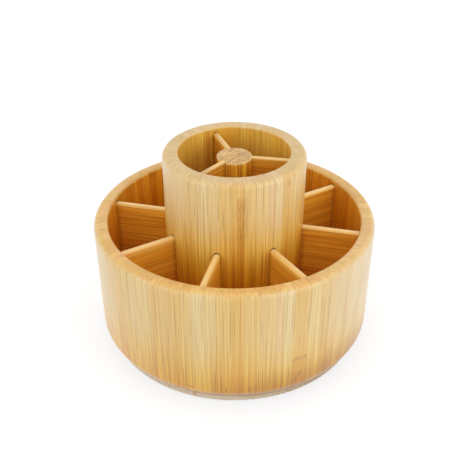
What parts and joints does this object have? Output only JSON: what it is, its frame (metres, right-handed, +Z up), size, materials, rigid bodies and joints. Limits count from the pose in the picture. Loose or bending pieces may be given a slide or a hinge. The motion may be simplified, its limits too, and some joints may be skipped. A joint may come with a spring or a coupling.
{
  "type": "rotating desk organizer",
  "caption": "Round bamboo desk organizer with divided outer cups round a taller divided centre cup, turning without limit on a ball bearing over a thin base disc.",
  "frame": {"origin": "on the desk, under the centre of the base disc", "axes": "+Z up along the turning axis; -Y towards the front view; +X to its right"},
  "size_m": [0.22, 0.22, 0.158],
  "materials": {
    "bamboo_wall": "satin clear lacquer over vertical bamboo strips",
    "bamboo_tube": "satin clear lacquer over vertical bamboo strips",
    "bamboo_dividers": "satin clear lacquer, grain along the panel",
    "bamboo_post": "satin clear lacquer, end grain on top",
    "bamboo_floor": "satin clear lacquer over parallel strips",
    "bamboo_base": "satin clear lacquer over parallel strips",
    "aluminium_rings": "turned",
    "steel_screws": "zinc plated",
    "steel_balls": "polished",
    "nylon_cage": "natural nylon",
    "rubber_pads": "matte"
  },
  "bodies": {
    "base": {"base_disc": "bamboo_base", "bearing_inner_ring": "aluminium_rings", "base_screws": "steel_screws", "foot_pad_1": "rubber_pads", "foot_pad_2": "rubber_pads", "foot_pad_3": "rubber_pads", "foot_pad_4": "rubber_pads"},
    "ball_row": {"ball_cage": "nylon_cage", "bearing_balls": "steel_balls"},
    "drum": {"drum_wall": "bamboo_wall", "floor_panel": "bamboo_floor", "bearing_outer_ring": "aluminium_rings", "ring_screws": "steel_screws", "centre_tube": "bamboo_tube", "centre_post": "bamboo_post", "outer_divider_1": "bamboo_dividers", "outer_divider_2": "bamboo_dividers", "outer_divider_3": "bamboo_dividers", "outer_divider_4": "bamboo_dividers", "outer_divider_5": "bamboo_dividers", "outer_divider_6": "bamboo_dividers", "outer_divider_7": "bamboo_dividers", "outer_divider_8": "bamboo_dividers", "inner_divider_1": "bamboo_dividers", "inner_divider_2": "bamboo_dividers", "inner_divider_3": "bamboo_dividers"}
  },
  "joints": [
    {"name": "drum_spin", "type": "hinge", "parent": "base", "child": "drum", "pos_m": [0, 0, 0], "axis": [0, 0, 1], "continuous": true},
    {"name": "ball_row_spin", "type": "hinge", "parent": "base", "child": "ball_row", "pos_m": [0, 0, 0], "axis": [0, 0, 1], "continuous": true}
  ],
  "couplings": [
    {"joint": "ball_row_spin", "follows": "drum_spin", "ratio": 0.5122}
  ]
}
